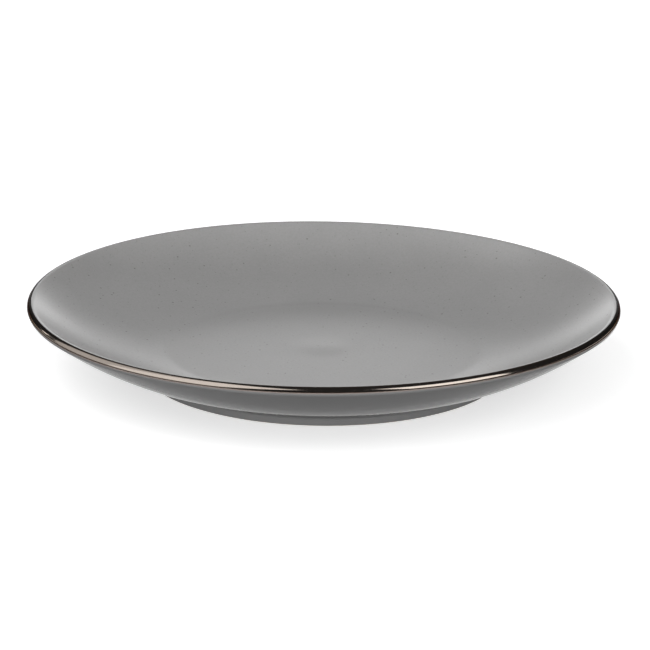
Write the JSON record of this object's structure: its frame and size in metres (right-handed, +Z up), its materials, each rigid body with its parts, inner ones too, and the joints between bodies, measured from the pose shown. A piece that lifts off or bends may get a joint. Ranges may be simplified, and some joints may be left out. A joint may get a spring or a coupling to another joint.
{
  "type": "fruit plate",
  "caption": "Round coupe fruit plate in grey glazed stoneware: a flat well curves up to a rounded lip with a dark metallic band, on a low foot ring.",
  "frame": {"origin": "centre of the foot ring's contact face, on the table", "axes": "+Z up along the plate's axis of revolution, +Y away from the picture's camera, +X to its right"},
  "size_m": [0.21, 0.21, 0.027],
  "materials": {
    "bare_clay": "bare fired stoneware, wiped clean of glaze where it meets the table",
    "speckled_glaze": "satin grey glaze with fine dark iron specks",
    "plain_glaze": "satin grey glaze, smoother than the inside",
    "dark_lustre": "dark bronze metallic lustre, polished"
  },
  "bodies": {
    "root": {"stoneware_body": "bare_clay", "inside_glaze": "speckled_glaze", "outside_glaze": "plain_glaze", "recess_glaze": "plain_glaze", "rim_band": "dark_lustre"}
  },
  "joints": []
}
